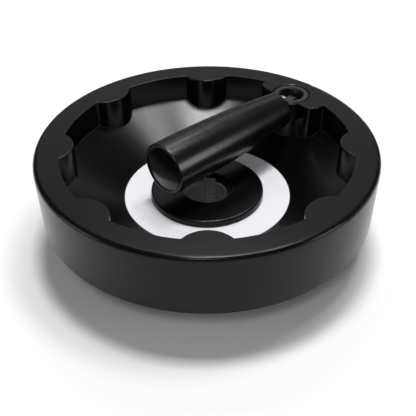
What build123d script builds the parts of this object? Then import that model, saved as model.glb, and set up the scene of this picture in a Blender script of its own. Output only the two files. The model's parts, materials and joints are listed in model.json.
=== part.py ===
"""Deep-dished machine handwheel with finger lobes and a revolving handle that folds into the dish.

Millimetres. The origin is the centre of the hub's back face, +Z runs along the shaft axis
towards the operator, and -Y is the side from which the wheel is usually looked at.
"""
from build123d import *
import math
import os

# Rim and dish
wheel_diameter = 160.0
rim_height = 32.0
rim_setback = 17.0
rim_draft = 1.1
rim_top_round = 2.0
rim_foot_round = 2.5
rim_wall = 11.8
recess_draft = 1.0
recess_edge_round = 0.5
skirt_wall = 7.0
skirt_draft = 1.0
skirt_foot_round = 1.0

# Finger lobes round the inside of the rim
lobe_count = 8
lobe_radius = 13.0
lobe_setback = 5.0
lobe_corner_round = 0.8

# Web and hub
web_thickness = 6.0
web_slope = 26.5
hub_back_diameter = 48.0
hub_back_round = 1.0
hub_back_draft = 1.0
web_hub_round = 5.0
web_skirt_round = 4.0
hub_disc_diameter = 54.0
hub_disc_rise = 3.2
hub_disc_round = 0.8
hub_mouth_diameter = 24.4
hub_mouth_depth = 2.9

# Dial ring let into the web round the hub
dial_width = 13.0
dial_thickness = 1.5
dial_face_height = 21.5
dial_fit = 0.1

# Shaft bush
shaft_bore = 18.0
shaft_bush_diameter = 32.0
shaft_bush_chamfer = 0.5
bush_waist_depth = 2.0
bush_waist_width = 6.0
key_width = 6.0
key_depth = 2.8
key_azimuth = 83.0

# Handle seat in the rim
handle_setback = 15.9
handle_azimuth = 47.4
fold_azimuth = 222.9
seat_half_width = 18.5
seat_front = 5.0
seat_corner = 5.0
seat_column_wall = 3.5
handle_bush_diameter = 19.0
handle_bush_wall = 3.3
handle_bush_chamfer = 0.9
handle_mouth_chamfer = 0.4
handle_seat_chamfer = 0.6
plug_lip = 0.6
plug_height = 4.0
plug_slot_width = 1.4
plug_slot_depth = 1.5

# Fold pivot and detent
pivot_drop = 5.5
pivot_pin_diameter = 4.0
pivot_pin_recess = 0.3
tang_thickness = 4.0
heel_flat = 4.5
tang_rise = 3.2
tang_heel_round = 3.9
tang_tip_round = 3.4
slot_clearance = 0.3
running_fit = 0.04
detent_clearance = 0.05
plunger_fit = 0.08
plunger_height = 8.0
plunger_wall = 1.32
plunger_cup_depth = 4.0
spring_clearance = 0.3
spring_wire = 1.0
spring_turns = 6

# Spindle
collar_start = 9.3
collar_diameter = 14.4
collar_thickness = 2.0
spindle_diameter = 10.0
spindle_end = 79.0
spindle_chamfer = 1.0
end_play = 0.2
washer_thickness = 1.0
end_washer_diameter = 16.6
ring_thickness = 1.1
ring_groove_depth = 0.9
ring_outer_diameter = 13.8
ring_mouth_angle = 70.0

# Grip
grip_start = 9.5
grip_root_diameter = 18.0
grip_belly_station = 45.0
grip_belly_diameter = 23.4
grip_end_station = 86.7
grip_end_diameter = 25.0
grip_root_round = 0.6
grip_end_round = 0.8
grip_bore = 14.0
collar_clearance = 0.4
bearing_length = 12.0
shoulder_station = 74.0
cap_seat_station = 83.2
cap_seat_diameter = 22.8
cap_bore_diameter = 17.2

# Grip cap
cap_fit = 0.1
cap_edge_rise = 3.2
cap_dome_rise = 1.4
cap_dome_diameter = 20.8
cap_groove_depth = 0.4
cap_groove_width = 0.5
cap_spigot_length = 3.6
cap_spigot_wall = 1.2

# Worked-out places
wheel_radius = wheel_diameter / 2
recess_radius = wheel_radius - rim_wall
lobe_step = 360 / lobe_count
rim_top = rim_setback + rim_height
skirt_radius = wheel_radius - rim_draft - skirt_wall
hub_radius = hub_disc_diameter / 2
hub_back_radius = hub_back_diameter / 2
dial_radius = hub_radius + dial_width
dial_seat_height = dial_face_height - dial_thickness
hub_top = dial_face_height + hub_disc_rise
bush_top = hub_top - hub_mouth_depth
shaft_bush_radius = shaft_bush_diameter / 2
web_rise = math.tan(math.radians(web_slope))
handle_bush_radius = handle_bush_diameter / 2
handle_bush_bore_radius = handle_bush_radius - handle_bush_wall
plug_radius = handle_bush_bore_radius + plug_lip
plunger_radius = handle_bush_bore_radius - plunger_fit
plunger_cup_radius = plunger_radius - plunger_wall
handle_radius = wheel_radius - handle_setback
handle_x = handle_radius * math.cos(math.radians(handle_azimuth))
handle_y = handle_radius * math.sin(math.radians(handle_azimuth))
pivot_height = rim_top - pivot_drop
nose_radius = collar_start - slot_clearance
spindle_radius = spindle_diameter / 2
heel_reach = tang_heel_round + (heel_flat - tang_heel_round) * math.sqrt(2)
plunger_top = pivot_height - heel_reach - detent_clearance
plunger_foot = plunger_top - plunger_height
plug_top = rim_setback + plug_height
collar_back = collar_start + collar_thickness
root_counterbore_end = collar_back + end_play + washer_thickness
end_washer_station = shoulder_station + end_play
ring_station = end_washer_station + washer_thickness + running_fit
ring_groove_radius = spindle_radius - ring_groove_depth

# Planes of the folded handle: x runs along the grip, y runs up, and the pin lies along z
fold_direction = Vector(math.cos(math.radians(fold_azimuth)), math.sin(math.radians(fold_azimuth)), 0)
pin_direction = fold_direction.cross(Vector(0, 0, 1))
pivot_point = Vector(handle_x, handle_y, pivot_height)
handle_foot = Vector(handle_x, handle_y, 0)
fold_plane = Plane(origin=pivot_point, x_dir=fold_direction, z_dir=pin_direction)
seat_plane = Plane(origin=handle_foot, x_dir=fold_direction, z_dir=(0, 0, 1))
bush_section_plane = Plane(origin=handle_foot, x_dir=fold_direction, z_dir=pin_direction)
handle_axis = Axis(handle_foot, (0, 0, 1))
grip_axis = Axis(pivot_point, fold_direction)


def web_height(radius):
    """Height of the web's front surface at a distance from the wheel's axis."""
    return dial_face_height + (radius - dial_radius) * web_rise


def shaft_bush_outline():
    """Outside of the shaft bush, with the waist that keys it into the moulding."""
    waist_radius = shaft_bush_radius - bush_waist_depth
    waist_middle = bush_top / 2
    waist_foot = waist_middle - bush_waist_width / 2
    waist_head = waist_middle + bush_waist_width / 2
    return [
        (shaft_bush_radius, 0),
        (shaft_bush_radius, waist_foot - bush_waist_depth),
        (waist_radius, waist_foot),
        (waist_radius, waist_head),
        (shaft_bush_radius, waist_head + bush_waist_depth),
        (shaft_bush_radius, bush_top),
    ]


os.makedirs("parts", exist_ok=True)

# Space inside the dish: the recess with its lobes and the handle seat left standing, down to the web
with BuildPart() as dish_space:
    with BuildSketch(Plane.XY.offset(rim_top)):
        Circle(recess_radius)
        with PolarLocations(
            wheel_radius - lobe_setback,
            lobe_count - 1,
            start_angle=2 * lobe_step,
            angular_range=(lobe_count - 2) * lobe_step,
            endpoint=True,
        ):
            Circle(lobe_radius, mode=Mode.SUBTRACT)
        seat_depth = seat_front + handle_bush_radius + seat_corner
        with Locations(Location((handle_x, handle_y), fold_azimuth)):
            with Locations((seat_front - seat_depth / 2, 0)):
                RectangleRounded(seat_depth, 2 * seat_half_width, seat_corner, mode=Mode.SUBTRACT)
        offset(amount=-lobe_corner_round)
        offset(amount=lobe_corner_round)
    extrude(amount=rim_height, dir=(0, 0, -1), taper=recess_draft)
    with BuildSketch(Plane.XZ):
        with BuildLine():
            FilletPolyline(
                (0, 0),
                (0, hub_top),
                (hub_radius, hub_top),
                (hub_radius, dial_seat_height),
                (dial_radius, dial_seat_height),
                (dial_radius, dial_face_height),
                (wheel_radius, web_height(wheel_radius)),
                (wheel_radius, 0),
                radius=[0, 0, hub_disc_round, 0, 0, 0, 0, 0],
                close=True,
            )
        make_face()
    revolve(axis=Axis.Z, mode=Mode.SUBTRACT)

# Wheel body: one moulding with the rim, web, hub, finger lobes and handle seat
with BuildPart() as wheel_body:
    with BuildSketch(Plane.XZ):
        with BuildLine():
            FilletPolyline(
                (0, 0),
                (hub_back_radius, 0),
                (hub_back_radius + hub_back_draft, web_height(hub_back_radius) - web_thickness),
                (skirt_radius - skirt_draft, web_height(skirt_radius) - web_thickness),
                (skirt_radius, rim_setback),
                (wheel_radius - rim_draft, rim_setback),
                (wheel_radius, rim_top),
                (0, rim_top),
                radius=[
                    0,
                    hub_back_round,
                    web_hub_round,
                    web_skirt_round,
                    skirt_foot_round,
                    rim_foot_round,
                    rim_top_round,
                    0,
                ],
                close=True,
            )
        make_face()
    revolve(axis=Axis.Z)
    with BuildSketch(seat_plane.offset(rim_setback)):
        Circle(handle_bush_radius + seat_column_wall)
    extrude(amount=pivot_height - rim_setback)
    add(dish_space.part, mode=Mode.SUBTRACT)
    rim_face = wheel_body.faces().filter_by(Axis.Z).sort_by(Axis.Z)[-1]
    fillet(rim_face.inner_wires().edges(), recess_edge_round)
    with BuildSketch(bush_section_plane):
        with BuildLine():
            Polyline(
                (0, rim_setback),
                (handle_bush_radius, rim_setback),
                (handle_bush_radius, rim_top - handle_seat_chamfer),
                (handle_bush_radius + handle_seat_chamfer, rim_top),
                (0, rim_top),
                close=True,
            )
        make_face()
    revolve(axis=handle_axis, mode=Mode.SUBTRACT)
    with BuildSketch(Plane.XZ):
        with BuildLine():
            Polyline((0, 0), *shaft_bush_outline(), (0, bush_top), close=True)
        make_face()
    revolve(axis=Axis.Z, mode=Mode.SUBTRACT)
    with BuildSketch(Plane.XY.offset(bush_top)):
        Circle(hub_mouth_diameter / 2)
    extrude(amount=hub_mouth_depth, mode=Mode.SUBTRACT)
wheel_body.part.label = "wheel_body"
export_step(wheel_body.part, "parts/wheel_body.step")

# Dial ring: a plain flat ring, bare of marks
with BuildPart() as dial_ring:
    with BuildSketch(Plane.XY.offset(dial_seat_height)):
        Circle(dial_radius - dial_fit)
        Circle(hub_radius + dial_fit, mode=Mode.SUBTRACT)
    extrude(amount=dial_thickness)
dial_ring.part.label = "dial_ring"
export_step(dial_ring.part, "parts/dial_ring.step")

# Shaft bush with its keyway
with BuildPart() as shaft_bush:
    bore_radius = shaft_bore / 2
    with BuildSketch(Plane.XZ):
        with BuildLine():
            Polyline(
                *shaft_bush_outline(),
                (bore_radius + shaft_bush_chamfer, bush_top),
                (bore_radius, bush_top - shaft_bush_chamfer),
                (bore_radius, shaft_bush_chamfer),
                (bore_radius + shaft_bush_chamfer, 0),
                close=True,
            )
        make_face()
    revolve(axis=Axis.Z)
    with BuildSketch(Plane.XY):
        with Locations(Location((0, 0), key_azimuth)):
            with Locations((bore_radius / 2 + key_depth / 2, 0)):
                Rectangle(bore_radius + key_depth, key_width)
    extrude(amount=bush_top, mode=Mode.SUBTRACT)
shaft_bush.part.label = "shaft_bush"
export_step(shaft_bush.part, "parts/shaft_bush.step")

# Handle bush: a sleeve flush with the rim, slotted for the tang and rounded on its dish side
with BuildPart() as handle_bush:
    with BuildSketch(bush_section_plane):
        with BuildLine():
            Polyline(
                (plug_radius, rim_setback),
                (handle_bush_radius, rim_setback),
                (handle_bush_radius, rim_top - handle_bush_chamfer),
                (handle_bush_radius - handle_bush_chamfer, rim_top),
                (handle_bush_bore_radius + handle_mouth_chamfer, rim_top),
                (handle_bush_bore_radius, rim_top - handle_mouth_chamfer),
                (handle_bush_bore_radius, plug_top),
                (plug_radius, plug_top),
                close=True,
            )
        make_face()
    revolve(axis=handle_axis)
    with BuildSketch(fold_plane):
        nose_depth = heel_flat + collar_diameter / 2
        Rectangle(handle_bush_diameter, 2 * nose_depth, align=(Align.MIN, Align.CENTER))
        Circle(nose_radius, mode=Mode.SUBTRACT)
        Rectangle(nose_radius, nose_depth, align=(Align.MIN, Align.MAX), mode=Mode.SUBTRACT)
    extrude(amount=handle_bush_radius, both=True, mode=Mode.SUBTRACT)
    with BuildSketch(fold_plane):
        slot_floor = heel_flat + slot_clearance
        with Locations((0, -slot_floor)):
            Rectangle(handle_bush_diameter, slot_floor + pivot_drop, align=(Align.MIN, Align.MIN))
    extrude(amount=tang_thickness / 2 + slot_clearance, both=True, mode=Mode.SUBTRACT)
    with BuildSketch(fold_plane):
        Circle(pivot_pin_diameter / 2)
    extrude(amount=handle_bush_radius, both=True, mode=Mode.SUBTRACT)
handle_bush.part.label = "handle_bush"
export_step(handle_bush.part, "parts/handle_bush.step")

# Pivot pin, driven through the handle bush
with BuildPart() as pivot_pin:
    with BuildSketch(fold_plane):
        Circle(pivot_pin_diameter / 2)
    extrude(amount=handle_bush_radius - pivot_pin_recess, both=True)
pivot_pin.part.label = "pivot_pin"
export_step(pivot_pin.part, "parts/pivot_pin.step")

# Detent plunger, a cup pushed up towards the flats of the tang's heel
with BuildPart() as detent_plunger:
    with BuildSketch(seat_plane.offset(plunger_foot)):
        Circle(plunger_radius)
    extrude(amount=plunger_height)
    with BuildSketch(seat_plane.offset(plunger_foot)):
        Circle(plunger_cup_radius)
    extrude(amount=plunger_cup_depth, mode=Mode.SUBTRACT)
detent_plunger.part.label = "detent_plunger"
export_step(detent_plunger.part, "parts/detent_plunger.step")

# Detent spring between the plug and the bottom of the plunger's cup
with BuildPart() as detent_spring:
    coil_radius = plunger_cup_radius - spring_clearance - spring_wire / 2
    coil_foot = plug_top + detent_clearance + spring_wire / 2
    coil_rise = plunger_foot + plunger_cup_depth - detent_clearance - spring_wire / 2 - coil_foot
    with BuildLine(seat_plane.offset(coil_foot)) as coil:
        Helix(pitch=coil_rise / spring_turns, height=coil_rise, radius=coil_radius)
    with BuildSketch(Plane(origin=coil.line @ 0, z_dir=coil.line % 0)):
        Circle(spring_wire / 2)
    sweep(is_frenet=True)
detent_spring.part.label = "detent_spring"
export_step(detent_spring.part, "parts/detent_spring.step")

# Plug that closes the handle bush from behind, with a slot for a screwdriver
with BuildPart() as bush_plug:
    with BuildSketch(seat_plane.offset(rim_setback)):
        Circle(plug_radius)
    extrude(amount=plug_height)
    with BuildSketch(seat_plane.offset(rim_setback)):
        Rectangle(2 * plug_radius, plug_slot_width)
    extrude(amount=plug_slot_depth, mode=Mode.SUBTRACT)
bush_plug.part.label = "bush_plug"
export_step(bush_plug.part, "parts/bush_plug.step")

# Spindle: collar, shaft and ring groove, with a flat tang whose heel has two flats
with BuildPart() as spindle:
    groove_end = ring_station + ring_thickness + running_fit
    with BuildSketch(fold_plane):
        with BuildLine():
            Polyline(
                (collar_start, 0),
                (collar_start, collar_diameter / 2),
                (collar_back, collar_diameter / 2),
                (collar_back, spindle_radius),
                (ring_station - running_fit, spindle_radius),
                (ring_station - running_fit, ring_groove_radius),
                (groove_end, ring_groove_radius),
                (groove_end, spindle_radius),
                (spindle_end - spindle_chamfer, spindle_radius),
                (spindle_end, spindle_radius - spindle_chamfer),
                (spindle_end, 0),
                close=True,
            )
        make_face()
    revolve(axis=grip_axis)
    with BuildSketch(fold_plane):
        with BuildLine():
            FilletPolyline(
                (collar_start, -heel_flat),
                (-heel_flat, -heel_flat),
                (-heel_flat, tang_rise),
                (collar_start, tang_rise),
                radius=[0, tang_heel_round, tang_tip_round, 0],
                close=True,
            )
        make_face()
        Circle(pivot_pin_diameter / 2 + running_fit, mode=Mode.SUBTRACT)
    extrude(amount=tang_thickness / 2, both=True)
spindle.part.label = "spindle"
export_step(spindle.part, "parts/spindle.step")

# Grip: a hollow barrel that swells towards its free end
with BuildPart() as grip:
    root_radius = grip_root_diameter / 2
    end_radius = grip_end_diameter / 2
    root_counterbore = collar_diameter / 2 + collar_clearance
    with BuildSketch(fold_plane):
        with BuildLine():
            ThreePointArc(
                (grip_start, root_radius),
                (grip_belly_station, grip_belly_diameter / 2),
                (grip_end_station, end_radius),
            )
            Polyline(
                (grip_end_station, end_radius),
                (grip_end_station, cap_seat_diameter / 2),
                (cap_seat_station, cap_seat_diameter / 2),
                (cap_seat_station, cap_bore_diameter / 2),
                (shoulder_station, cap_bore_diameter / 2),
                (shoulder_station, grip_bore / 2),
                (root_counterbore_end, grip_bore / 2),
                (root_counterbore_end, root_counterbore),
                (grip_start, root_counterbore),
                (grip_start, root_radius),
            )
        make_face()
    revolve(axis=grip_axis)
    for rim_radius, rim_round in ((root_radius, grip_root_round), (end_radius, grip_end_round)):
        circles = grip.edges().filter_by(GeomType.CIRCLE)
        fillet(circles.filter_by(lambda edge: abs(edge.radius - rim_radius) < cap_fit), rim_round)
grip.part.label = "grip"
export_step(grip.part, "parts/grip.step")

# Grip cap: domed plug with a fine groove round its face, pressed into the free end
with BuildPart() as grip_cap:
    cap_radius = cap_seat_diameter / 2 - cap_fit
    dome_radius = cap_dome_diameter / 2
    cap_edge_station = cap_seat_station + cap_edge_rise
    groove_floor = cap_edge_station - cap_groove_depth
    with BuildSketch(fold_plane):
        with BuildLine():
            TangentArc(
                (cap_edge_station + cap_dome_rise, 0), (cap_edge_station, dome_radius), tangent=(0, 1)
            )
            Polyline(
                (cap_edge_station, dome_radius),
                (groove_floor, dome_radius),
                (groove_floor, dome_radius + cap_groove_width),
                (cap_edge_station, dome_radius + cap_groove_width),
                (cap_edge_station, cap_radius),
                (cap_seat_station, cap_radius),
                (cap_seat_station, 0),
                (cap_edge_station + cap_dome_rise, 0),
            )
        make_face()
    revolve(axis=grip_axis)
    with BuildSketch(fold_plane):
        with Locations((cap_seat_station, cap_bore_diameter / 2 - cap_fit)):
            Rectangle(cap_spigot_length, cap_spigot_wall, align=(Align.MAX, Align.MAX))
    revolve(axis=grip_axis)
grip_cap.part.label = "grip_cap"
export_step(grip_cap.part, "parts/grip_cap.step")

# Two plain bearings pressed into the grip's bore, one at each end
bearing_stations = {
    "root_bearing": root_counterbore_end,
    "end_bearing": shoulder_station - bearing_length,
}
for bearing_name, bearing_station in bearing_stations.items():
    with BuildPart() as bearing:
        bearing_wall = grip_bore / 2 - spindle_radius - running_fit
        with BuildSketch(fold_plane):
            with Locations((bearing_station, grip_bore / 2)):
                Rectangle(bearing_length, bearing_wall, align=(Align.MIN, Align.MAX))
        revolve(axis=grip_axis)
    bearing.part.label = bearing_name
    export_step(bearing.part, f"parts/{bearing_name}.step")

# Two washers that take the grip's end thrust: against the collar, and against the retaining ring
washer_places = {
    "thrust_washer": (collar_back, collar_diameter / 2),
    "end_washer": (end_washer_station, end_washer_diameter / 2),
}
for washer_name, (washer_station, washer_radius) in washer_places.items():
    with BuildPart() as washer:
        with BuildSketch(fold_plane):
            with Locations((washer_station, spindle_radius + running_fit)):
                washer_width = washer_radius - spindle_radius - running_fit
                Rectangle(washer_thickness, washer_width, align=(Align.MIN, Align.MIN))
        revolve(axis=grip_axis)
    washer.part.label = washer_name
    export_step(washer.part, f"parts/{washer_name}.step")

# Retaining ring, a spring clip with an open mouth
with BuildPart() as retaining_ring:
    with BuildSketch(fold_plane):
        with Locations((ring_station, ring_groove_radius)):
            ring_width = ring_outer_diameter / 2 - ring_groove_radius
            Rectangle(ring_thickness, ring_width, align=(Align.MIN, Align.MIN))
    revolve(axis=grip_axis, revolution_arc=360 - ring_mouth_angle)
retaining_ring.part.label = "retaining_ring"
export_step(retaining_ring.part, "parts/retaining_ring.step")
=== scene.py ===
"""Finish, light and camera for a dished machine handwheel with a revolving handle that folds into it.

The CAD nodes carry the shapes, and this file gives each of them its surface: the black moulding, the
white dial, the turned and blackened steel of the hub and the folding joint, and the satin grip. Only
the detent spring is wound here, as a coil of one fixed length.
"""

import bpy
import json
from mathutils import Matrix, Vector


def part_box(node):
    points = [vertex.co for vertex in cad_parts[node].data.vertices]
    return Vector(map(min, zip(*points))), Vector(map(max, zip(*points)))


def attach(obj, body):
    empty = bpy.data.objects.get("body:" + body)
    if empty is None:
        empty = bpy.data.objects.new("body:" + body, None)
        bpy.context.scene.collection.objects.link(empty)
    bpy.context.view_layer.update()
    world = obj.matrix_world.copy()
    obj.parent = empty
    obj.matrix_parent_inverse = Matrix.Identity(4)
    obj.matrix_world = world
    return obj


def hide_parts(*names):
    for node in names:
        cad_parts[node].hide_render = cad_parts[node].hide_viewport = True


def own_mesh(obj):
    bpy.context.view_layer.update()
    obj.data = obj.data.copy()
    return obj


bl_info = {
    "name": "Machine Handwheel Finish",
    "version": (1, 0, 0),
    "blender": (4, 5, 0),
    "location": "View3D > Sidebar > Handwheel",
    "description": "Moulding, dial, steel and grip finishes for a machine handwheel, with its studio",
    "category": "Object",
}

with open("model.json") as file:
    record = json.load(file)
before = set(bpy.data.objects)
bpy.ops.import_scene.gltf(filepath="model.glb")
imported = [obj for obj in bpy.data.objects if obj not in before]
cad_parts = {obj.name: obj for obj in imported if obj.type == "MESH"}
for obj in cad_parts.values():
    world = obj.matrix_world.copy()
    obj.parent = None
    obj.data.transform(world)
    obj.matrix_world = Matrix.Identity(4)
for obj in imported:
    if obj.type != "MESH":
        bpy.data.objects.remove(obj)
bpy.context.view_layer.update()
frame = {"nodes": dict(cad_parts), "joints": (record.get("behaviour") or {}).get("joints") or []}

import json
import math

import bmesh
import bpy
from bpy.props import FloatProperty, FloatVectorProperty, IntProperty, PointerProperty
from mathutils import Matrix, Vector

NODES = frame["nodes"]
JOINTS = {joint["name"]: joint for joint in frame["joints"]}
PIVOT = Vector(JOINTS["handle_fold"]["pos_m"])
PIN_AXIS = Vector(JOINTS["handle_fold"]["axis"]).normalized()
GRIP_AXIS = Vector(JOINTS["grip_spin"]["axis"]).normalized()

# Mean roughness of the metals that have no setting of their own
BRONZE_ROUGHNESS = 0.42
WIRE_ROUGHNESS = 0.28
BLACKENED_ROUGHNESS = 0.34

# Colours that edges and dimples turn to: a painted highlight on the moulding's edges, bare metal rubbed
# through on blackened steel, and the dial's dimples
PAINTED_EDGE_HIGHLIGHT = (0.11, 0.11, 0.115, 1)
RUBBED_STEEL = (0.12, 0.12, 0.12, 1)
DIAL_DIMPLE = (0.7, 0.7, 0.74, 1)

# Sockets that carry colours on the Mix node: its two inputs and its result
MIX_FIRST, MIX_SECOND, MIX_RESULT = 6, 7, 2

# Facets of the spring: steps in one turn, and sides of the wire
TURN_STEPS = 36
WIRE_SIDES = 16

# Point that the softboxes face, and the side, place and size of each, in metres
AIM = (0, 0, 0.03)
SOFTBOXES = (
    ("top", (0.03, 0.242, 1.61), (0.30, 0.25)),
    ("side_top", (0.43, 0.40, 1.55), (0.44, 0.30)),
    ("front", (-0.10, -0.98, 1.27), (0.36, 0.28)),
    ("back", (0.04, 1.17, 1.515), (0.68, 0.44)),
    ("low_back", (0.0, 2.0, 1.22), (1.80, 0.84)),
    ("right", (1.6, -0.51, 0.45), (0.64, 0.64)),
    ("left", (-1.6, -0.32, 0.45), (0.64, 0.64)),
)

# Width of the camera's sensor in mm
SENSOR_WIDTH = 36.0

# Where each turned piece has its axis: a point on it, and its direction
SHAFT_LINE = (Vector((0, 0, 0)), Vector((0, 0, 1)))
BUSH_LINE = (Vector((PIVOT.x, PIVOT.y, 0)), Vector((0, 0, 1)))
GRIP_LINE = (PIVOT, GRIP_AXIS)
PIN_LINE = (PIVOT, PIN_AXIS)


class HandwheelFinish(bpy.types.PropertyGroup):
    """Colours and textures of the handwheel's pieces"""

    moulding_colour: FloatVectorProperty(
        name="Moulding", description="Colour of the wheel's black moulding", size=3, subtype="COLOR",
        default=(0.0028, 0.0028, 0.0031), min=0, max=1,
    )
    moulding_roughness: FloatProperty(
        name="Moulding roughness", description="Roughness of the wheel's moulded skin",
        default=0.21, min=0, max=1, subtype="FACTOR",
    )
    moulding_specular: FloatProperty(
        name="Moulding specular", description="Specular level of the wheel's moulded skin",
        default=0.2, min=0, max=1, subtype="FACTOR",
    )
    # Also the width of the painted highlight along the moulding's edges
    moulding_edge_round: FloatProperty(
        name="Moulding edge round", description="Radius by which the shading softens corners",
        default=0.0009, min=0, unit="LENGTH",
    )
    grip_colour: FloatVectorProperty(
        name="Grip", description="Colour of the grip", size=3, subtype="COLOR",
        default=(0.0032, 0.0032, 0.0034), min=0, max=1,
    )
    grip_roughness: FloatProperty(
        name="Grip roughness", description="Roughness of the satin grip", default=0.27, min=0, max=1,
        subtype="FACTOR",
    )
    cap_roughness: FloatProperty(
        name="Cap roughness", description="Roughness of the glossy grip cap", default=0.22, min=0, max=1,
        subtype="FACTOR",
    )
    dial_colour: FloatVectorProperty(
        name="Dial", description="Colour of the dial ring", size=3, subtype="COLOR",
        default=(0.82, 0.82, 0.855), min=0, max=1,
    )
    dial_roughness: FloatProperty(
        name="Dial roughness", description="Roughness of the dial's matt coating",
        default=0.55, min=0, max=1, subtype="FACTOR",
    )
    steel_colour: FloatVectorProperty(
        name="Bare steel", description="Colour of turned steel", size=3, subtype="COLOR",
        default=(0.74, 0.73, 0.715), min=0, max=1,
    )
    steel_roughness: FloatProperty(
        name="Steel roughness", description="Roughness of turned steel", default=0.4, min=0, max=1,
        subtype="FACTOR",
    )
    blackened_colour: FloatVectorProperty(
        name="Blackened steel", description="Colour of blackened steel", size=3, subtype="COLOR",
        default=(0.012, 0.012, 0.013), min=0, max=1,
    )
    bronze_colour: FloatVectorProperty(
        name="Bearing bronze", description="Colour of the sintered bearings", size=3, subtype="COLOR",
        default=(0.45, 0.27, 0.12), min=0, max=1,
    )
    spring_wire: FloatProperty(
        name="Spring wire", description="Diameter of the detent spring's wire", default=0.001, min=0,
        unit="LENGTH",
    )
    spring_turns: IntProperty(
        name="Spring turns", description="Turns of the detent spring", default=6, min=1,
    )


class HandwheelStage(bpy.types.PropertyGroup):
    """Camera, floor and softboxes"""

    camera_place: FloatVectorProperty(
        name="Camera place", description="Where the camera stands", size=3, subtype="TRANSLATION",
        unit="LENGTH", default=(0.0003, -0.2992, 0.2434),
    )
    camera_tilt: FloatProperty(
        name="Camera tilt", description="How far the camera looks down", subtype="ANGLE",
        default=math.radians(37.727),
    )
    camera_roll: FloatProperty(
        name="Camera roll", description="Turn about the line of sight", subtype="ANGLE",
        default=math.radians(-0.501),
    )
    focal_length: FloatProperty(
        name="Focal length", description="Focal length in mm on a sensor 36 mm wide", default=66.303,
        subtype="DISTANCE_CAMERA",
    )
    floor_colour: FloatVectorProperty(
        name="Floor colour", description="Colour of the floor", size=3, subtype="COLOR",
        default=(0.94, 0.94, 0.945), min=0, max=1,
    )
    floor_reach: FloatProperty(
        name="Floor reach", description="Half the width of the floor", unit="LENGTH", default=6.0, min=0,
    )
    top_radiance: FloatProperty(
        name="Top softbox", description="Radiance of the softbox overhead", default=60.0, min=0,
    )
    front_radiance: FloatProperty(
        name="Front softbox", description="Radiance of the softbox high in front", default=11.0, min=0,
    )
    side_top_radiance: FloatProperty(
        name="Side top softbox", description="Radiance of the softbox beside the top one", default=17.0,
        min=0,
    )
    low_back_radiance: FloatProperty(
        name="Low back softbox", description="Radiance of the low panel behind", default=0.45, min=0,
    )
    back_radiance: FloatProperty(
        name="Back softbox", description="Radiance of the softbox behind", default=4.0, min=0,
    )
    right_radiance: FloatProperty(
        name="Right softbox", description="Radiance of the softbox at the right", default=5.0, min=0,
    )
    left_radiance: FloatProperty(
        name="Left softbox", description="Radiance of the softbox at the left", default=3.0, min=0,
    )
    room_level: FloatProperty(
        name="Room level", description="Strength of the light from all round", default=0.09, min=0,
    )


# Node tree helpers

def add_node(tree, kind, place, **settings):
    """Adds a node of a kind at a place and sets its own properties."""
    node = tree.nodes.new(kind)
    node.location = place
    for name, value in settings.items():
        setattr(node, name, value)
    return node


def add_noise(tree, place, vector, scale, detail):
    """Adds a noise texture; the scale is a number or a socket."""
    noise = add_node(tree, "ShaderNodeTexNoise", place)
    noise.inputs["Detail"].default_value = detail
    tree.links.new(vector, noise.inputs["Vector"])
    if isinstance(scale, bpy.types.NodeSocket):
        tree.links.new(scale, noise.inputs["Scale"])
    else:
        noise.inputs["Scale"].default_value = scale
    return noise.outputs["Fac"]


def add_range(tree, place, value, source, target):
    """Adds a linear remap of a value from one pair of numbers to another."""
    remap = add_node(tree, "ShaderNodeMapRange", place)
    remap.inputs["From Min"].default_value, remap.inputs["From Max"].default_value = source
    remap.inputs["To Min"].default_value, remap.inputs["To Max"].default_value = target
    tree.links.new(value, remap.inputs["Value"])
    return remap.outputs["Result"]


def add_math(tree, place, operation, first, second):
    """Adds a sum, product or other operation on two values, each a number or a socket."""
    node = add_node(tree, "ShaderNodeMath", place, operation=operation)
    for socket, value in zip(node.inputs, (first, second)):
        if isinstance(value, bpy.types.NodeSocket):
            tree.links.new(value, socket)
        else:
            socket.default_value = value
    return node.outputs["Value"]


def add_tint(tree, place, colour, factor):
    """Adds a colour multiplied by a factor."""
    node = add_node(tree, "ShaderNodeVectorMath", place, operation="SCALE")
    tree.links.new(colour, node.inputs[0])
    tree.links.new(factor, node.inputs["Scale"])
    return node.outputs["Vector"]


def new_group(name, inputs, outputs):
    """Makes a shader node group with named sockets and returns its tree and end nodes."""
    group = bpy.data.node_groups.new(name, "ShaderNodeTree")
    for socket_name, socket_kind, default in inputs:
        socket = group.interface.new_socket(name=socket_name, in_out="INPUT", socket_type=socket_kind)
        if default is not None:
            socket.default_value = default
    for socket_name, socket_kind in outputs:
        group.interface.new_socket(name=socket_name, in_out="OUTPUT", socket_type=socket_kind)
    start = add_node(group, "NodeGroupInput", (-1200, 0))
    end = add_node(group, "NodeGroupOutput", (800, 0))
    return group, start, end


def group_named(name, build):
    """The node group of a name, built the first time that a material asks for it."""
    return bpy.data.node_groups.get(name) or build(name)


def place_group(tree, group, place, values):
    """Puts a node group into a material with its own values, each a number, a colour or a socket."""
    node = tree.nodes.new("ShaderNodeGroup")
    node.node_tree = group
    node.location = place
    for name, value in values.items():
        if isinstance(value, bpy.types.NodeSocket):
            tree.links.new(value, node.inputs[name])
        else:
            node.inputs[name].default_value = value
    return node


# Shared effects

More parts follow.
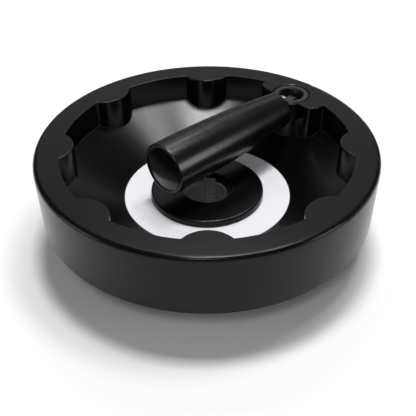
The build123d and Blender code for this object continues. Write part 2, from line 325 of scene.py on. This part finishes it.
def build_moulded_skin(name):
    """Moulded skin: clouds in colour and gloss where the melt flowed, and a fine orange-peel height."""
    group, start, end = new_group(
        name,
        [
            ("Colour", "NodeSocketColor", (0.01, 0.01, 0.01, 1)),
            ("Roughness", "NodeSocketFloat", 0.3),
            ("Flow Scale", "NodeSocketFloat", 40.0),
            ("Grain Scale", "NodeSocketFloat", 1600.0),
        ],
        [("Colour", "NodeSocketColor"), ("Roughness", "NodeSocketFloat"), ("Height", "NodeSocketFloat")],
    )
    place = add_node(group, "ShaderNodeTexCoord", (-1200, -300)).outputs["Object"]
    flow = add_noise(group, (-900, 300), place, start.outputs["Flow Scale"], 3.0)
    mottle = add_noise(group, (-900, 0), place, 260.0, 2.0)
    grain = add_noise(group, (-900, -300), place, start.outputs["Grain Scale"], 2.0)
    shade = add_range(group, (-600, 300), flow, (0.3, 0.7), (0.75, 1.3))
    group.links.new(add_tint(group, (-300, 300), start.outputs["Colour"], shade), end.inputs["Colour"])
    gloss = add_range(group, (-600, 0), flow, (0.3, 0.7), (0.92, 1.08))
    speckle = add_range(group, (-600, -150), mottle, (0.3, 0.7), (0.95, 1.05))
    gloss = add_math(group, (-300, 0), "MULTIPLY", gloss, speckle)
    rough = add_math(group, (0, 0), "MULTIPLY", gloss, start.outputs["Roughness"])
    group.links.new(rough, end.inputs["Roughness"])
    peel = add_math(group, (-300, -300), "MULTIPLY", mottle, 0.6)
    height = add_math(group, (0, -300), "ADD", grain, peel)
    group.links.new(height, end.inputs["Height"])
    return group


def build_edge_rub_and_highlight(name):
    """Edge rub and highlight: a mask of corners, which lights the moulding's edges as a painted highlight
    and marks where hands and rags have polished blackened steel to metal.
    """
    group, start, end = new_group(
        name,
        [("Width", "NodeSocketFloat", 0.0005), ("Breakup Scale", "NodeSocketFloat", 300.0)],
        [("Mask", "NodeSocketFloat")],
    )
    surface = add_node(group, "ShaderNodeNewGeometry", (-900, 200)).outputs["Normal"]
    rounded = add_node(group, "ShaderNodeBevel", (-900, -50), samples=4)
    group.links.new(start.outputs["Width"], rounded.inputs["Radius"])
    turn = add_node(group, "ShaderNodeVectorMath", (-600, 100), operation="DOT_PRODUCT")
    group.links.new(surface, turn.inputs[0])
    group.links.new(rounded.outputs["Normal"], turn.inputs[1])
    corner = add_range(group, (-300, 100), turn.outputs["Value"], (0.995, 0.85), (0.0, 1.0))
    place = add_node(group, "ShaderNodeTexCoord", (-900, -300)).outputs["Object"]
    breakup = add_noise(group, (-600, -300), place, start.outputs["Breakup Scale"], 3.0)
    patches = add_range(group, (-300, -300), breakup, (0.35, 0.6), (0.25, 1.0))
    group.links.new(add_math(group, (100, 0), "MULTIPLY", corner, patches), end.inputs["Mask"])
    return group


def build_turned_marks(name):
    """Turned marks: rings left by a lathe tool about the Z axis of the vector that comes in."""
    group, start, end = new_group(
        name,
        [("Vector", "NodeSocketVector", None), ("Ring Scale", "NodeSocketFloat", 4000.0)],
        [("Shade", "NodeSocketFloat"), ("Height", "NodeSocketFloat")],
    )
    split = add_node(group, "ShaderNodeSeparateXYZ", (-900, 0))
    group.links.new(start.outputs["Vector"], split.inputs["Vector"])
    across = add_math(group, (-700, 150), "MULTIPLY", split.outputs["X"], split.outputs["X"])
    along = add_math(group, (-700, 0), "MULTIPLY", split.outputs["Y"], split.outputs["Y"])
    reach = add_math(group, (-500, 100), "SQRT", add_math(group, (-600, 80), "ADD", across, along), 0.0)
    ring_place = add_node(group, "ShaderNodeCombineXYZ", (-300, 0))
    group.links.new(reach, ring_place.inputs["X"])
    group.links.new(split.outputs["Z"], ring_place.inputs["Z"])
    rings = add_noise(group, (-100, 100), ring_place.outputs["Vector"], start.outputs["Ring Scale"], 3.0)
    group.links.new(add_range(group, (300, 150), rings, (0.3, 0.7), (0.8, 1.2)), end.inputs["Shade"])
    group.links.new(rings, end.inputs["Height"])
    return group


def build_oil_film(name):
    """Oil film: soft patches that change the gloss of bare metal."""
    group, start, end = new_group(
        name,
        [("Patch Scale", "NodeSocketFloat", 180.0), ("Strength", "NodeSocketFloat", 0.2)],
        [("Factor", "NodeSocketFloat")],
    )
    place = add_node(group, "ShaderNodeTexCoord", (-900, 0)).outputs["Object"]
    patches = add_noise(group, (-600, 0), place, start.outputs["Patch Scale"], 4.0)
    centred = add_range(group, (-300, 0), patches, (0.3, 0.7), (-1.0, 1.0))
    swing = add_math(group, (0, 0), "MULTIPLY", centred, start.outputs["Strength"])
    group.links.new(add_math(group, (300, 0), "ADD", swing, 1.0), end.inputs["Factor"])
    return group


# Finishes

def new_finish(name):
    """An empty material with its tree and its Principled shader."""
    material = bpy.data.materials.new(name)
    material.use_nodes = True
    tree = material.node_tree
    return material, tree, tree.nodes["Principled BSDF"]


def add_bump(tree, shader, height, strength, distance, normal=None):
    """Adds a bump to the shader's normal."""
    bump = add_node(tree, "ShaderNodeBump", (-300, -300))
    bump.inputs["Strength"].default_value = strength
    bump.inputs["Distance"].default_value = distance
    tree.links.new(height, bump.inputs["Height"])
    if normal is not None:
        tree.links.new(normal, bump.inputs["Normal"])
    tree.links.new(bump.outputs["Normal"], shader.inputs["Normal"])


def turned_place(tree, line):
    """Object coordinates moved and turned so that a line of the part becomes the Z axis."""
    point, direction = line
    place = add_node(tree, "ShaderNodeTexCoord", (-1500, -400)).outputs["Object"]
    mapping = add_node(tree, "ShaderNodeMapping", (-1300, -400), vector_type="TEXTURE")
    mapping.inputs["Location"].default_value = point
    mapping.inputs["Rotation"].default_value = direction.to_track_quat("Z", "Y").to_euler()
    tree.links.new(place, mapping.inputs["Vector"])
    return mapping.outputs["Vector"]


def mix_colour(tree, place, factor, first, second):
    """Adds a blend of two colours, each a colour or a socket, by a mask."""
    mix = add_node(tree, "ShaderNodeMix", place, data_type="RGBA")
    tree.links.new(factor, mix.inputs["Factor"])
    for socket, value in ((mix.inputs[MIX_FIRST], first), (mix.inputs[MIX_SECOND], second)):
        if isinstance(value, bpy.types.NodeSocket):
            tree.links.new(value, socket)
        else:
            socket.default_value = value
    return mix.outputs[MIX_RESULT]


def black_moulding(finish):
    """Black thermoset of the wheel: satin skin with softened corners and a faint painted highlight along
    its edges.
    """
    material, tree, shader = new_finish("black_moulding")
    skin = place_group(tree, group_named("Moulded Skin", build_moulded_skin), (-900, 100), {
        "Colour": (*finish.moulding_colour, 1),
        "Roughness": finish.moulding_roughness,
        "Flow Scale": 28.0,
        "Grain Scale": 1500.0,
    })
    rub_and_highlight = place_group(tree, group_named("Edge Rub And Highlight", build_edge_rub_and_highlight), (-900, -200), {
        "Width": finish.moulding_edge_round,
        "Breakup Scale": 60.0,
    })
    # Painted highlight: a pale grey is mixed into the colour along the edges, broken into patches
    rub_and_highlight_mask = add_math(tree, (-650, -200), "MULTIPLY", rub_and_highlight.outputs["Mask"], 0.5)
    colour = mix_colour(tree, (-450, 200), rub_and_highlight_mask, skin.outputs["Colour"], PAINTED_EDGE_HIGHLIGHT)
    tree.links.new(colour, shader.inputs["Base Color"])
    tree.links.new(skin.outputs["Roughness"], shader.inputs["Roughness"])
    corners = add_node(tree, "ShaderNodeBevel", (-600, -450), samples=6)
    corners.inputs["Radius"].default_value = finish.moulding_edge_round
    shader.inputs["Specular IOR Level"].default_value = finish.moulding_specular
    add_bump(tree, shader, skin.outputs["Height"], 0.05, 0.00002, corners.outputs["Normal"])
    return material


def grip_plastic(finish):
    """Satin black plastic of the grip's barrel."""
    material, tree, shader = new_finish("grip_plastic")
    skin = place_group(tree, group_named("Moulded Skin", build_moulded_skin), (-900, 100), {
        "Colour": (*finish.grip_colour, 1),
        "Roughness": finish.grip_roughness,
        "Flow Scale": 55.0,
        "Grain Scale": 1900.0,
    })
    tree.links.new(skin.outputs["Colour"], shader.inputs["Base Color"])
    tree.links.new(skin.outputs["Roughness"], shader.inputs["Roughness"])
    add_bump(tree, shader, skin.outputs["Height"], 0.04, 0.00003)
    return material


def cap_plastic(finish):
    """Glossy black plastic of the grip's cap, with fine rings about the grip's axis."""
    material, tree, shader = new_finish("cap_plastic")
    skin = place_group(tree, group_named("Moulded Skin", build_moulded_skin), (-900, 100), {
        "Colour": (*finish.grip_colour, 1),
        "Roughness": finish.cap_roughness,
        "Flow Scale": 90.0,
        "Grain Scale": 2400.0,
    })
    marks = place_group(tree, group_named("Turned Marks", build_turned_marks), (-900, -200), {
        "Vector": turned_place(tree, GRIP_LINE),
        "Ring Scale": 900.0,
    })
    tree.links.new(skin.outputs["Colour"], shader.inputs["Base Color"])
    rough = add_math(tree, (-600, 0), "MULTIPLY", skin.outputs["Roughness"], marks.outputs["Shade"])
    tree.links.new(rough, shader.inputs["Roughness"])
    add_bump(tree, shader, marks.outputs["Height"], 0.25, 0.00003)
    return material


def dial_coating(finish):
    """Matt white coating of the dial ring over faint lathe rings."""
    material, tree, shader = new_finish("dial_coating")
    marks = place_group(tree, group_named("Turned Marks", build_turned_marks), (-900, -200), {
        "Vector": turned_place(tree, SHAFT_LINE),
        "Ring Scale": 2600.0,
    })
    skin = place_group(tree, group_named("Moulded Skin", build_moulded_skin), (-900, 100), {
        "Colour": (*finish.dial_colour, 1),
        "Roughness": finish.dial_roughness,
        "Flow Scale": 70.0,
        "Grain Scale": 5200.0,
    })
    tone = add_range(tree, (-600, -200), marks.outputs["Shade"], (0.8, 1.2), (0.985, 1.015))
    pale = mix_colour(
        tree, (-600, 200), add_range(tree, (-800, 350), skin.outputs["Height"], (0.5, 1.1), (0.0, 0.06)),
        (*finish.dial_colour, 1), DIAL_DIMPLE,
    )
    tree.links.new(add_tint(tree, (-300, 200), pale, tone), shader.inputs["Base Color"])
    tree.links.new(skin.outputs["Roughness"], shader.inputs["Roughness"])
    add_bump(tree, shader, skin.outputs["Height"], 0.1, 0.00002)
    return material


def turned_steel(name, finish, line, ring_scale):
    """Bare turned steel with tool rings about a line and a thin oil film."""
    material, tree, shader = new_finish(name)
    marks = place_group(tree, group_named("Turned Marks", build_turned_marks), (-1000, 0), {
        "Vector": turned_place(tree, line),
        "Ring Scale": ring_scale,
    })
    film = place_group(tree, group_named("Oil Film", build_oil_film), (-1000, -300), {
        "Patch Scale": 220.0,
        "Strength": 0.25,
    })
    bare = add_node(tree, "ShaderNodeRGB", (-1000, 250))
    bare.outputs["Color"].default_value = (*finish.steel_colour, 1)
    bright = add_tint(tree, (-600, 250), bare.outputs["Color"], marks.outputs["Shade"])
    tree.links.new(bright, shader.inputs["Base Color"])
    rough = add_math(tree, (-600, 0), "MULTIPLY", film.outputs["Factor"], finish.steel_roughness)
    tree.links.new(rough, shader.inputs["Roughness"])
    shader.inputs["Metallic"].default_value = 1.0
    add_bump(tree, shader, marks.outputs["Height"], 0.25, 0.00003)
    return material


def blackened_steel(name, finish, line):
    """Blackened steel: dark oxide with tool rings, rubbed to metal along its corners."""
    material, tree, shader = new_finish(name)
    marks = place_group(tree, group_named("Turned Marks", build_turned_marks), (-1000, 0), {
        "Vector": turned_place(tree, line),
        "Ring Scale": 3000.0,
    })
    film = place_group(tree, group_named("Oil Film", build_oil_film), (-1000, -300), {
        "Patch Scale": 300.0,
        "Strength": 0.2,
    })
    rub_and_highlight = place_group(tree, group_named("Edge Rub And Highlight", build_edge_rub_and_highlight), (-1000, 300), {
        "Width": 0.0002,
        "Breakup Scale": 500.0,
    })
    oxide = add_node(tree, "ShaderNodeRGB", (-1000, 550))
    oxide.outputs["Color"].default_value = (*finish.blackened_colour, 1)
    shade = add_tint(tree, (-700, 450), oxide.outputs["Color"], marks.outputs["Shade"])
    rub_and_highlight_mask = add_math(tree, (-700, 250), "MULTIPLY", rub_and_highlight.outputs["Mask"], 0.15)
    colour = mix_colour(tree, (-450, 350), rub_and_highlight_mask, shade, RUBBED_STEEL)
    tree.links.new(colour, shader.inputs["Base Color"])
    tree.links.new(rub_and_highlight_mask, shader.inputs["Metallic"])
    rough = add_math(tree, (-600, 0), "MULTIPLY", film.outputs["Factor"], BLACKENED_ROUGHNESS)
    tree.links.new(rough, shader.inputs["Roughness"])
    add_bump(tree, shader, marks.outputs["Height"], 0.3, 0.00003)
    return material


def reamed_bush_steel(finish):
    """The shaft bush: blackened on its end faces and other faces that look up or down, bare on its walls:
    the reamed bore, the keyway and the outside.
    """
    material, tree, shader = new_finish("reamed_bush_steel")
    marks = place_group(tree, group_named("Turned Marks", build_turned_marks), (-1000, 0), {
        "Vector": turned_place(tree, SHAFT_LINE),
        "Ring Scale": 2400.0,
    })
    film = place_group(tree, group_named("Oil Film", build_oil_film), (-1000, -300), {
        "Patch Scale": 160.0,
        "Strength": 0.25,
    })
    facing = add_node(tree, "ShaderNodeSeparateXYZ", (-1000, 500))
    surface = add_node(tree, "ShaderNodeTexCoord", (-1200, 500)).outputs["Normal"]
    tree.links.new(surface, facing.inputs["Vector"])
    level = add_math(tree, (-800, 500), "ABSOLUTE", facing.outputs["Z"], 0.0)
    bare_mask = add_range(tree, (-600, 500), level, (0.8, 0.6), (0.0, 1.0))
    bare = add_node(tree, "ShaderNodeRGB", (-1000, 300))
    bare.outputs["Color"].default_value = (*finish.steel_colour, 1)
    bright = add_tint(tree, (-700, 300), bare.outputs["Color"], marks.outputs["Shade"])
    colour = mix_colour(tree, (-450, 350), bare_mask, (*finish.blackened_colour, 1), bright)
    tree.links.new(colour, shader.inputs["Base Color"])
    tree.links.new(bare_mask, shader.inputs["Metallic"])
    rough = add_math(tree, (-600, 0), "MULTIPLY", film.outputs["Factor"], finish.steel_roughness)
    tree.links.new(rough, shader.inputs["Roughness"])
    add_bump(tree, shader, marks.outputs["Height"], 0.25, 0.00003)
    return material


def sintered_bronze(finish):
    """Sintered bronze of the two bearings, with fine pores."""
    material, tree, shader = new_finish("sintered_bronze")
    place = add_node(tree, "ShaderNodeTexCoord", (-1300, 0)).outputs["Object"]
    pores = add_node(tree, "ShaderNodeTexVoronoi", (-1000, 0))
    pores.inputs["Scale"].default_value = 3500.0
    tree.links.new(place, pores.inputs["Vector"])
    film = place_group(tree, group_named("Oil Film", build_oil_film), (-1000, -300), {
        "Patch Scale": 240.0,
        "Strength": 0.3,
    })
    warm = add_node(tree, "ShaderNodeRGB", (-1000, 250))
    warm.outputs["Color"].default_value = (*finish.bronze_colour, 1)
    depth = add_range(tree, (-700, 0), pores.outputs["Distance"], (0.0, 0.4), (0.45, 1.0))
    tree.links.new(add_tint(tree, (-450, 200), warm.outputs["Color"], depth), shader.inputs["Base Color"])
    rough = add_math(tree, (-450, 0), "MULTIPLY", film.outputs["Factor"], BRONZE_ROUGHNESS)
    tree.links.new(rough, shader.inputs["Roughness"])
    shader.inputs["Metallic"].default_value = 1.0
    add_bump(tree, shader, depth, 0.3, 0.00004)
    return material


def spring_wire(finish):
    """Drawn spring wire with fine mottling in its gloss."""
    material, tree, shader = new_finish("spring_wire")
    film = place_group(tree, group_named("Oil Film", build_oil_film), (-900, 0), {
        "Patch Scale": 700.0,
        "Strength": 0.3,
    })
    bare = add_node(tree, "ShaderNodeRGB", (-900, 250))
    bare.outputs["Color"].default_value = (*finish.steel_colour, 1)
    bright = add_tint(tree, (-500, 250), bare.outputs["Color"], film.outputs["Factor"])
    tree.links.new(bright, shader.inputs["Base Color"])
    rough = add_math(tree, (-500, 0), "MULTIPLY", film.outputs["Factor"], WIRE_ROUGHNESS)
    tree.links.new(rough, shader.inputs["Roughness"])
    shader.inputs["Metallic"].default_value = 1.0
    return material


def give(material, *node_names):
    """Puts one material on some CAD nodes."""
    for node_name in node_names:
        mesh = NODES[node_name].data
        mesh.materials.clear()
        mesh.materials.append(material)


class HANDWHEEL_OT_wheel_body(bpy.types.Operator):
    """Gives the moulded wheel body its black skin"""

    bl_idname = "handwheel.wheel_body"
    bl_label = "Finish the wheel body"

    def execute(self, context):
        give(black_moulding(context.scene.handwheel_finish), "wheel_body")
        return {"FINISHED"}


class HANDWHEEL_OT_dial_ring(bpy.types.Operator):
    """Gives the dial ring its matt white coating, bare of marks"""

    bl_idname = "handwheel.dial_ring"
    bl_label = "Finish the dial ring"

    def execute(self, context):
        give(dial_coating(context.scene.handwheel_finish), "dial_ring")
        return {"FINISHED"}


class HANDWHEEL_OT_shaft_bush(bpy.types.Operator):
    """Gives the shaft bush its blackened faces and its bare reamed bore"""

    bl_idname = "handwheel.shaft_bush"
    bl_label = "Finish the shaft bush"

    def execute(self, context):
        give(reamed_bush_steel(context.scene.handwheel_finish), "shaft_bush")
        return {"FINISHED"}


class HANDWHEEL_OT_fold_joint(bpy.types.Operator):
    """Finishes the handle bush and what it holds: pin, plunger and plug"""

    bl_idname = "handwheel.fold_joint"
    bl_label = "Finish the folding joint"

    def execute(self, context):
        finish = context.scene.handwheel_finish
        give(blackened_steel("blackened_bush_steel", finish, BUSH_LINE), "handle_bush", "detent_plunger")
        give(turned_steel("turned_plug_steel", finish, BUSH_LINE, 3200.0), "bush_plug")
        give(turned_steel("ground_pin_steel", finish, PIN_LINE, 6000.0), "pivot_pin")
        return {"FINISHED"}


class HANDWHEEL_OT_detent_spring(bpy.types.Operator):
    """Winds the detent spring at one fixed length; the real spring shortens as the plunger slides down"""

    bl_idname = "handwheel.detent_spring"
    bl_label = "Wind the detent spring"

    def execute(self, context):
        finish = context.scene.handwheel_finish
        low, high = (Vector(corner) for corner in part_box("detent_spring"))
        wire_radius = finish.spring_wire / 2
        coil_radius = (high.x - low.x) / 2 - wire_radius
        centre = Vector((PIVOT.x, PIVOT.y, low.z + wire_radius))
        rise = high.z - low.z - finish.spring_wire
        steps = finish.spring_turns * TURN_STEPS
        upright = Matrix.Rotation(math.pi / 2, 4, "X")
        section_place = Matrix.Translation(centre + Vector((coil_radius, 0, 0))) @ upright
        shape = bmesh.new()
        section = bmesh.ops.create_circle(
            shape, cap_ends=True, segments=WIRE_SIDES, radius=wire_radius, matrix=section_place,
        )
        start_face = section["verts"][0].link_faces[0]
        bmesh.ops.spin(
            shape, geom=[start_face, *start_face.edges, *start_face.verts], cent=centre, axis=(0, 0, 1),
            dvec=(0, 0, rise / steps), angle=math.tau * finish.spring_turns, steps=steps, use_merge=False,
        )
        bmesh.ops.recalc_face_normals(shape, faces=shape.faces)
        for face in shape.faces:
            face.smooth = len(face.verts) == 4
        mesh = bpy.data.meshes.new("wound_spring")
        shape.to_mesh(mesh)
        shape.free()
        mesh.materials.append(spring_wire(finish))
        spring = bpy.data.objects.new("wound_spring", mesh)
        context.scene.collection.objects.link(spring)
        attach(spring, "wheel")
        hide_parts("detent_spring")
        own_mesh(spring)
        return {"FINISHED"}


class HANDWHEEL_OT_handle(bpy.types.Operator):
    """Finishes the spindle with its washers, retaining ring and bearings"""

    bl_idname = "handwheel.handle"
    bl_label = "Finish the spindle"

    def execute(self, context):
        finish = context.scene.handwheel_finish
        give(blackened_steel("blackened_spindle_steel", finish, GRIP_LINE), "spindle", "retaining_ring")
        give(turned_steel("washer_steel", finish, GRIP_LINE, 5000.0), "thrust_washer", "end_washer")
        give(sintered_bronze(finish), "root_bearing", "end_bearing")
        return {"FINISHED"}


class HANDWHEEL_OT_grip(bpy.types.Operator):
    """Gives the grip its satin skin and the cap its gloss"""

    bl_idname = "handwheel.grip"
    bl_label = "Finish the grip"

    def execute(self, context):
        finish = context.scene.handwheel_finish
        give(grip_plastic(finish), "grip")
        give(cap_plastic(finish), "grip_cap")
        return {"FINISHED"}


# Stage and camera

def camera_matrix(settings):
    """World matrix of the camera from its place, tilt and roll."""
    tilt = settings.camera_tilt
    roll = settings.camera_roll
    forward = Vector((0, math.cos(tilt), -math.sin(tilt)))
    right = Vector((1, 0, 0))
    up = right.cross(forward)
    camera_x = right * math.cos(roll) + up * math.sin(roll)
    camera_y = up * math.cos(roll) - right * math.sin(roll)
    turn = Matrix((camera_x, camera_y, -forward)).transposed().to_4x4()
    return Matrix.Translation(Vector(settings.camera_place)) @ turn


def add_softbox(name, place, aim, size, radiance):
    """Adds a rectangular softbox of a radiance, facing a point."""
    data = bpy.data.lights.new(name, "AREA")
    data.shape = "RECTANGLE"
    data.size, data.size_y = size
    data.energy = radiance * math.pi * data.size * data.size_y
    lamp = bpy.data.objects.new(name, data)
    bpy.context.scene.collection.objects.link(lamp)
    direction = Vector(aim) - Vector(place)
    turn = direction.to_track_quat("-Z", "Y").to_matrix().to_4x4()
    lamp.matrix_world = Matrix.Translation(Vector(place)) @ turn


class HANDWHEEL_OT_stage(bpy.types.Operator):
    """Adds the floor, the softboxes, the room and the camera"""

    bl_idname = "handwheel.stage"
    bl_label = "Set the stage"

    def execute(self, context):
        settings = context.scene.handwheel_stage
        self.add_floor(context, settings)
        self.add_lights(settings)
        self.add_room(context, settings)
        self.add_camera(context, settings)
        context.scene.view_settings.view_transform = "Standard"
        return {"FINISHED"}

    def add_floor(self, context, settings):
        """A pale matt floor."""
        mesh = bpy.data.meshes.new("floor")
        shape = bmesh.new()
        bmesh.ops.create_grid(shape, x_segments=1, y_segments=1, size=settings.floor_reach)
        shape.to_mesh(mesh)
        shape.free()
        floor = bpy.data.objects.new("floor", mesh)
        context.scene.collection.objects.link(floor)
        material, _, shader = new_finish("pale_floor")
        shader.inputs["Base Color"].default_value = (*settings.floor_colour, 1)
        shader.inputs["Roughness"].default_value = 0.9
        shader.inputs["Specular IOR Level"].default_value = 0.0
        mesh.materials.append(material)

    def add_lights(self, settings):
        """Softboxes overhead, beside that, in front, behind, low behind and at each side."""
        for side, place, size in SOFTBOXES:
            add_softbox(f"{side}_softbox", place, AIM, size, getattr(settings, f"{side}_radiance"))

    def add_room(self, context, settings):
        """Even light from all round."""
        world = bpy.data.worlds.new("white_room")
        world.use_nodes = True
        context.scene.world = world
        room = world.node_tree.nodes["Background"]
        room.inputs["Color"].default_value = (1, 1, 1, 1)
        room.inputs["Strength"].default_value = settings.room_level

    def add_camera(self, context, settings):
        """The photograph's view."""
        data = bpy.data.cameras.new("photo_camera")
        data.lens = settings.focal_length
        data.sensor_width = SENSOR_WIDTH
        data.clip_start = 0.01
        camera = bpy.data.objects.new("photo_camera", data)
        context.scene.collection.objects.link(camera)
        camera.matrix_world = camera_matrix(settings)
        context.scene.camera = camera


class HANDWHEEL_PT_panel(bpy.types.Panel):
    """Lists the handwheel's operators and settings"""

    bl_idname = "HANDWHEEL_PT_panel"
    bl_label = "Handwheel"
    bl_space_type = "VIEW_3D"
    bl_region_type = "UI"
    bl_category = "Handwheel"

    def draw(self, context):
        for operator in OPERATORS:
            self.layout.operator(operator.bl_idname)
        for settings in (context.scene.handwheel_finish, context.scene.handwheel_stage):
            box = self.layout.box()
            for name in settings.__annotations__:
                box.prop(settings, name)


GROUPS = (HandwheelFinish, HandwheelStage)
OPERATORS = (
    HANDWHEEL_OT_wheel_body,
    HANDWHEEL_OT_dial_ring,
    HANDWHEEL_OT_shaft_bush,
    HANDWHEEL_OT_fold_joint,
    HANDWHEEL_OT_detent_spring,
    HANDWHEEL_OT_handle,
    HANDWHEEL_OT_grip,
    HANDWHEEL_OT_stage,
)
CLASSES = (*GROUPS, *OPERATORS, HANDWHEEL_PT_panel)


def register():
    for part in CLASSES:
        bpy.utils.register_class(part)
    bpy.types.Scene.handwheel_finish = PointerProperty(type=HandwheelFinish)
    bpy.types.Scene.handwheel_stage = PointerProperty(type=HandwheelStage)


def unregister():
    del bpy.types.Scene.handwheel_stage
    del bpy.types.Scene.handwheel_finish
    for part in reversed(CLASSES):
        bpy.utils.unregister_class(part)


def main():
    register()
    bpy.ops.handwheel.wheel_body()
    bpy.ops.handwheel.dial_ring()
    bpy.ops.handwheel.shaft_bush()
    bpy.ops.handwheel.fold_joint()
    bpy.ops.handwheel.detent_spring()
    bpy.ops.handwheel.handle()
    bpy.ops.handwheel.grip()
    bpy.ops.handwheel.stage()


if __name__ == "__main__":
    main()
